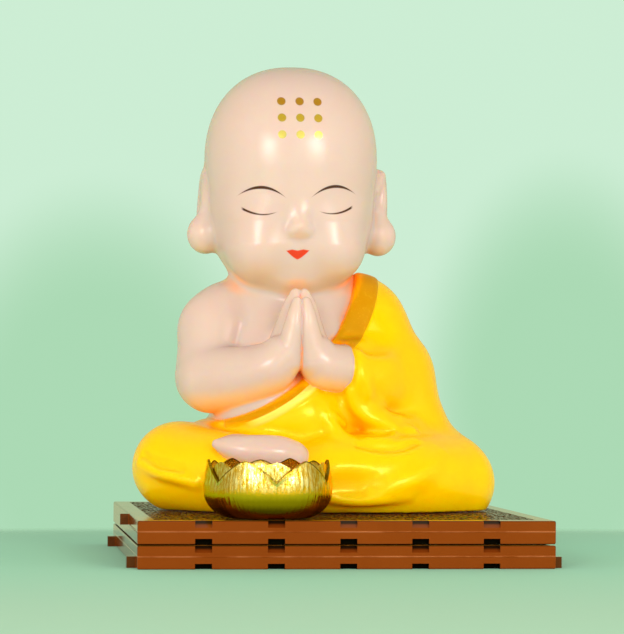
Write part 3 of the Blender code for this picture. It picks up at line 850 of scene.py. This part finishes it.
def skin_paint(tree, place, hollow, mist, dots, front):
    """Flesh, darker and more orange in the hollows, partly sprayed shading and partly painted shade.
    It is warmer where it faces down, as painted bounce light. Then come the brushed face and the
    dots, painted lighter row by row from the top as a painted highlight."""
    x, _, z = place
    # Orange in the hollows: partly the maker's sprayed shading, partly painted shade.
    skin = blend_colour(tree, hollow.ramp(0.34, 0.95), FLESH, FLESH_SHADE)
    skin = blend_colour(tree, mist.ramp(0.45, 0.75) * 0.18, skin, (0.59, 0.385, 0.31))
    # Skin that faces down is painted warmer, more so low on the body: painted warm bounce light from
    # the robe.
    under = facing_down(tree).ramp(0.25, 0.95) * (z.ramp(56.0, 44.0) * 0.45 + 0.3)
    skin = blend_colour(tree, under, skin, FLESH_BOUNCE_LIGHT)
    # The dots are painted lighter row by row from the top: a painted highlight on the gold.
    dot_gold_and_highlight = blend_colour(tree, z.ramp(106.0, 104.0), (0.52, 0.25, 0.012), (0.56, 0.38, 0.03))
    dot_gold_and_highlight = blend_colour(tree, z.ramp(101.5, 99.5), dot_gold_and_highlight, (0.62, 0.51, 0.10))
    return blend_colour(tree, dots, brushed_face(tree, x, z, front, skin), dot_gold_and_highlight)


def robe_paint(tree, place, hollow, mist):
    """Yellow, painted deeper and brighter low down as painted light, and orange in the hollows,
    partly sprayed shading and partly painted shade. A painted highlight runs along the rolled edge
    where the robe lies under the band on the belly."""
    x, _, z = place
    # The robe is painted brighter low down: painted light on the lower robe.
    robe = blend_colour(tree, z.ramp(30.0, 2.0), YELLOW, YELLOW_LOW_PAINTED_LIGHT)
    # Orange in the hollows: partly the maker's sprayed shading, partly painted shade.
    robe = blend_colour(tree, hollow.ramp(0.28, 1.0), robe, ORANGE)
    robe = blend_colour(tree, mist.ramp(0.4, 0.8) * 0.15, robe, (0.99, 0.42, 0.0))
    # A paler stripe along the rolled edge under the band on the belly: a painted highlight.
    rolled_edge_highlight = attribute(tree, "band").ramp(-2.4, -1.2) * z.ramp(36.0, 32.0) * z.ramp(20.0, 24.0)
    return blend_colour(tree, rolled_edge_highlight * x.ramp(-15.0, -10.0) * 0.7, robe, (1.0, 0.74, 0.16))


def band_paint(tree, spot, hollow):
    """Ochre with fine gold flecks, and orange in the hollows, which is partly sprayed shading and
    partly painted shade.
    """
    flecks = noise(tree, spot, 1400.0, 1.0).ramp(0.58, 0.70)
    # Orange in the band's hollows: partly sprayed shading, partly painted shade.
    band = blend_colour(tree, hollow.ramp(0.2, 0.8), OCHRE, ORANGE)
    return blend_colour(tree, flecks * 0.35, band, (0.62, 0.32, 0.012))


def lost_shine(place, trim, cloth, front):
    """What the lacquer loses of its shine: on the lids, the bare shoulder's worn outside, the
    band and the rubbed patch of robe beside it. The robe has a little more than the skin."""
    x, _, z = place
    lids = oval(x.size() - 10.0, z - 80.8, 9.0, 5.0).ramp(1.4, 0.2)
    worn = x.ramp(-13.0, -16.0) * z.ramp(60.0, 54.0) * z.ramp(36.0, 40.0)
    rubbed = oval(x - 20.0, z - 47.5, 8.0, 6.5).ramp(1.4, 0.4) * front
    return (lids * front + worn) * 0.35 + (trim + rubbed).least(1.0) * 0.6 - cloth * 0.35


def painted_figure():
    """The lacquer of the whole figure: three paints, and one gloss over them."""
    made, tree, shader, (x, y, z), spot = new_material("sprayed_lacquer")
    place = (x - FIGURE_AT[0], y - FIGURE_AT[1], z - FIGURE_AT[2])
    hollow, mist = attribute(tree, "hollow"), noise(tree, spot, 70.0, 3.0)
    front = place[1].ramp(-6.0, -8.0)
    dots = dot_grid(place[0], place[2]) * front
    cloth = attribute(tree, "cloth").ramp(-0.10, 0.10)
    trim = attribute(tree, "band").ramp(-0.12, 0.12) * cloth
    skin = skin_paint(tree, place, hollow, mist, dots, front)
    robe = robe_paint(tree, place, hollow, mist)
    robe = blend_colour(tree, trim, robe, band_paint(tree, spot, hollow))
    plug(tree, blend_colour(tree, cloth, skin, robe), shader.inputs["Base Color"])
    plug(tree, dots * 0.6, shader.inputs["Metallic"])
    tint = blend_colour(tree, cloth, (1.0, 0.92, 0.86), (1.0, 0.88, 0.16))
    plug(tree, tint, shader.inputs["Specular Tint"])
    shine = 0.5 - lost_shine(place, trim, cloth, front)
    plug(tree, shine, shader.inputs["Specular IOR Level"])
    plug(tree, trim * 0.2 + mist * 0.03 + 0.225, shader.inputs["Roughness"])
    shader.inputs["Subsurface Weight"].default_value = 0.6
    shader.inputs["Subsurface Radius"].default_value = (1.0, 0.35, 0.10)
    shader.inputs["Subsurface Scale"].default_value = 0.010
    raise_bump(tree, shader, noise(tree, spot, 900.0, 3.0), 0.000012)
    return made


def dot_grid(x, z):
    """Nine round dots: the distance to the nearest of three columns and three rows."""
    across, up = x + 0.1, z - 103.0
    across = across - (across / 4.8).math("ROUND").most(-1.0).least(1.0) * 4.8
    up = up - (up / 4.5).math("ROUND").most(-1.0).least(1.0) * 4.5
    return oval(across, up, 1.0, 1.0).math("SQRT").ramp(1.2, 1.0)


monk.data.materials.append(painted_figure())
print("figure painted")

# %% [markdown]
# ## Gold plate
# The bowl is vacuum plated: a mirror of pale gold that takes its look from what it reflects. The
# metal was drawn up from the foot, which leaves fine upright streaks. Below the belly the plate is
# painted darker and browner towards the foot, a painted reflection of the brown tile below. A dark
# line of painted shade runs along each petal rim.

# %% Gold plate
def streaks(tree, x, y, z):
    """Noise stretched up the wall: read at the angle round the bowl and a little of the height."""
    angle = (x - float(BOWL_AT[0])).math("ARCTAN2", y - float(BOWL_AT[1]))
    node = tree.nodes.new("ShaderNodeCombineXYZ")
    plug(tree, angle, node.inputs[0])
    plug(tree, z * 0.02, node.inputs[1])
    return noise(tree, Wire(tree, node.outputs[0]), 22.0, 4.0, 0.65)


def gold_plate():
    """Plated metal, told apart by height: belly, shoulder and petals. It is painted browner and
    darker towards the foot as a painted reflection of the brown tile, with a dark rim line of
    painted shade.
    """
    made, tree, shader, (x, y, z), spot = new_material("pale_gold_plate")
    drawn = streaks(tree, x, y, z)
    up = z - float(BOWL_AT[2]) + drawn
    plate = blend_colour(tree, drawn.ramp(0.35, 0.7), (0.80, 0.48, 0.01), (1.0, 0.90, 0.32))
    # Below the petals the plate is painted more orange, then darker and browner down to the foot: a
    # painted reflection of the brown tile below.
    plate = blend_colour(tree, up.ramp(6.6, 9.0), (0.92, 0.52, 0.01), plate)
    plate = blend_colour(tree, up.ramp(4.6, 6.6), (0.58, 0.30, 0.002), plate)
    plate = blend_colour(tree, up.ramp(2.4, 4.6), (0.17, 0.08, 0.001), plate)
    # A dark line along each petal rim: painted shade in the step below the rim.
    rim_shade = attribute(tree, "from_rim").ramp(0.50, 0.15)
    plate = blend_colour(tree, rim_shade * 0.85, plate, (0.22, 0.14, 0.005))
    plug(tree, plate, shader.inputs["Base Color"])
    plug(tree, drawn * 0.16 + 0.08, shader.inputs["Roughness"])
    shader.inputs["Specular Tint"].default_value = (1.0, 0.70, 0.03, 1.0)
    shader.inputs["Metallic"].default_value = 1.0
    raise_bump(tree, shader, drawn, 0.00012)
    return made


bowl.data.materials.append(gold_plate())

# %% [markdown]
# ## Moulded plastic of the tiles
# Both tiles are the solids themselves. The top has a pebbled panel inside a smooth border, and a
# fine line runs round at half height, where the two halves of the mould met. That line is painted
# lighter as a painted highlight, and the crevices between the pebbles are painted dark as painted
# shade. The front of the border is painted a lighter orange as a painted reflection of the robe. At
# a glancing angle the plastic mirrors the pale tent, so its tint only colours what it throws
# straight back. The cuts in the upper edge are painted darker towards their mouth, and the side pegs
# darker, both as painted shade. The notches below are painted black inside as painted shade.

# %% Tile plastic
def pebbles(tree, vector, scale):
    """Closely packed cells: how far a point lies from the border between two of them."""
    node = tree.nodes.new("ShaderNodeTexVoronoi")
    node.feature = "DISTANCE_TO_EDGE"
    plug(tree, vector, node.inputs["Vector"])
    node.inputs["Scale"].default_value = scale
    return Wire(tree, node.outputs["Distance"])


def tile_plastic(middle):
    """Brown plastic for a tile whose half height is at this height in millimetres."""
    made, tree, shader, (x, y, z), spot = new_material("brown_plastic")
    foot, head = middle - TILE_THICK / 2, middle + TILE_THICK / 2
    out = x.size().most(y.size())
    top = z.ramp(head - 0.10, head - 0.04)
    panel = out.ramp(48.0, 47.6) * top
    # The front of the smooth border is painted a lighter orange: a painted reflection of the robe.
    front_border_reflection = top * out.ramp(47.6, 48.0) * y.ramp(-20.0, -45.0)
    # The cut faces in the upper edge are painted darker towards their mouth: painted shade.
    cut_shade = out.ramp(TILE_HALF - 0.05, TILE_HALF - 0.15) * z.ramp(head - 1.2, head - 0.6) * (1.0 - top)
    # The notches along the bottom are painted black inside: painted shade.
    pocket_shade = out.ramp(TILE_HALF - 0.15, TILE_HALF - 0.2) * z.ramp(foot + 1.5, foot + 1.4)
    # The pegs at the sides are painted darker: painted shade.
    peg_shade = x.size().ramp(TILE_HALF + 0.05, TILE_HALF + 0.1)
    # The pebbled relief, with the crevices between the pebbles painted dark as painted shade.
    pebble_relief_and_shade = pebbles(tree, spot, 700.0).ramp(0.20, 0.10) * panel
    mottled = noise(tree, spot, 90.0, 4.0)
    colour = blend_colour(tree, mottled, (0.165, 0.027, 0.002), (0.20, 0.037, 0.003))
    # The mould line at half height: a small raised line, painted lighter as a painted highlight.
    mould_line_and_highlight = (z - middle - 0.2).size().ramp(0.30, 0.05)
    colour = blend_colour(tree, mould_line_and_highlight * mottled.ramp(0.35, 0.6), colour, (0.32, 0.09, 0.028))
    colour = blend_colour(tree, pebble_relief_and_shade, colour, (0.05, 0.018, 0.002))
    colour = blend_colour(tree, front_border_reflection, colour, (0.34, 0.12, 0.006))
    colour = blend_colour(tree, cut_shade, colour, (0.02, 0.007, 0.002))
    colour = blend_colour(tree, peg_shade, colour, (0.085, 0.022, 0.006))
    colour = blend_colour(tree, pocket_shade, colour, (0.004, 0.003, 0.001))
    plug(tree, colour, shader.inputs["Base Color"])
    shut = (pocket_shade + pebble_relief_and_shade + cut_shade * 0.5).least(1.0)
    plug(tree, 0.5 - shut * 0.5, shader.inputs["Specular IOR Level"])
    shader.inputs["Specular Tint"].default_value = (1.0, 0.45, 0.12, 1.0)
    plug(tree, panel * 0.05 + mottled * 0.05 + 0.07, shader.inputs["Roughness"])
    raise_bump(tree, shader, mould_line_and_highlight * 0.4 - pebble_relief_and_shade, 0.0002)
    return made


for storey, node in enumerate(("plinth_lower_tile", "plinth_upper_tile")):
    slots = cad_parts[node].data.materials
    slots.clear()
    slots.append(tile_plastic(TILE_THICK / 2 + storey * (TILE_THICK + GAP)))
print("tiles covered")

# %% [markdown]
# ## Floor and light
# The photograph was taken in a small light tent. Two small lamps stand a little above the forehead
# on either side. White cloth in front fills every shadow from low down, and pale green cloth hangs
# behind, with the figure's two shadows painted on it as darker patches.

# %% Floor
def floor_sheet():
    """A flat sheet, wide before the object and short behind it, that fades out at its edge."""
    corners = np.array([(-900, -1300, 0), (900, -1300, 0), (900, 300, 0), (-900, 300, 0)], float)
    made = make_mesh("floor", corners, [[0, 1, 2, 3]])
    cover, tree, shader, (x, y, z), spot = new_material("pale_green_cloth")
    cloudy = noise(tree, spot, 6.0)
    near = oval(x, y - 20.0, 300.0, 220.0).math("SQRT")
    tone = blend_colour(tree, near.ramp(0.2, 1.0), (0.35, 0.74, 0.50), (0.43, 0.68, 0.46))
    tone = blend_colour(tree, cloudy * 0.3, tone, (0.44, 0.68, 0.46))
    plug(tree, tone, shader.inputs["Base Color"])
    shader.inputs["Roughness"].default_value = 0.8
    out = oval(x, y + 420.0, 700.0, 560.0).math("SQRT")
    plug(tree, out.ramp(1.0, 0.94), shader.inputs["Alpha"])
    made.data.materials.append(cover)
    return made


floor_sheet()
print("floor laid")

# %% Lamps and surroundings
LAMPS_AIM_AT = np.array([0, 0, 0.08])


def lamp(name, azimuth, elevation, away, size, power, shines=True):
    """A softbox, width by height, that looks at the figure from a direction in degrees. One that
    doesn't shine fills the shadows and shows in no reflection."""
    a, e = math.radians(azimuth), math.radians(elevation)
    back = np.array([math.sin(a) * math.cos(e), -math.cos(a) * math.cos(e), math.sin(e)])
    data = bpy.data.lights.new(name, "AREA")
    data.shape = "RECTANGLE"
    data.size, data.size_y = size
    data.energy = power
    made = bpy.data.objects.new(name, data)
    made.visible_glossy = shines
    side = unit(np.cross((0, 0, 1), back))
    facing = Matrix(np.array([side, np.cross(back, side), back]).T.tolist()).to_4x4()
    made.matrix_world = Matrix.Translation(back * away + LAMPS_AIM_AT) @ facing
    bpy.context.scene.collection.objects.link(made)


lamp("left_softbox", -27, 13, 0.9, (0.26, 0.18), 2.0)
lamp("right_softbox", 21, 14, 0.9, (0.24, 0.18), 2.0)
lamp("front_fill", -6, -3, 1.2, (1.0, 0.5), 8.4, shines=False)
lamp("left_fill", -66, -3, 1.0, (0.8, 0.4), 6.2, shines=False)
lamp("right_fill", 62, -3, 1.0, (0.8, 0.4), 6.2, shines=False)


def tent_light():
    """The tent as seen straight, as a light on dull surfaces, and as a reflection: white cloth
    before the object, pale green behind and at the sides, and less bright overhead. Straight behind,
    two darker patches are the figure's shadows painted on the green cloth."""
    world = bpy.data.worlds.new("tent")
    world.use_nodes = True
    bpy.context.scene.world = world
    tree = world.node_tree
    sky = tree.nodes["Background"]
    ray = tree.nodes.new("ShaderNodeLightPath")
    spot = tree.nodes.new("ShaderNodeTexCoord")
    apart = tree.nodes.new("ShaderNodeSeparateXYZ")
    tree.links.new(spot.outputs["Generated"], apart.inputs[0])
    x, y, z = (Wire(tree, out) for out in apart.outputs)
    # Two darker patches on the cloth seen behind the figure: painted shadows of the figure.
    left = oval(x - 0.05, z + 0.02, 0.075, 0.10).ramp(1.0, 0.2)
    right = oval(x - 0.22, z + 0.01, 0.06, 0.10).ramp(1.0, 0.2)
    seen = blend_colour(tree, (left + right).least(1.0), (0.61, 0.85, 0.66), (0.41, 0.70, 0.46))
    ahead = y.ramp(0.05, -0.55) * z.ramp(0.85, 0.35)
    mirrored = blend_colour(tree, y.ramp(0.25, 0.8), (0.46, 0.42, 0.24), (0.50, 0.66, 0.38))
    mirrored = blend_colour(tree, ahead, mirrored, (1.02, 0.98, 0.90))
    mirrored = blend_colour(tree, z.ramp(0.6, 0.95), mirrored, (0.50, 0.58, 0.50))
    soft = blend_colour(tree, y.ramp(0.3, -0.5), (0.66, 0.70, 0.62), (0.80, 0.78, 0.76))
    soft = blend_colour(tree, z.ramp(0.35, 0.9), soft, (0.50, 0.50, 0.48))
    tone = blend_colour(tree, Wire(tree, ray.outputs["Is Diffuse Ray"]), mirrored, soft)
    tone = blend_colour(tree, Wire(tree, ray.outputs["Is Camera Ray"]), tone, seen)
    plug(tree, tone, sky.inputs["Color"])
    sky.inputs["Strength"].default_value = 1.0


tent_light()
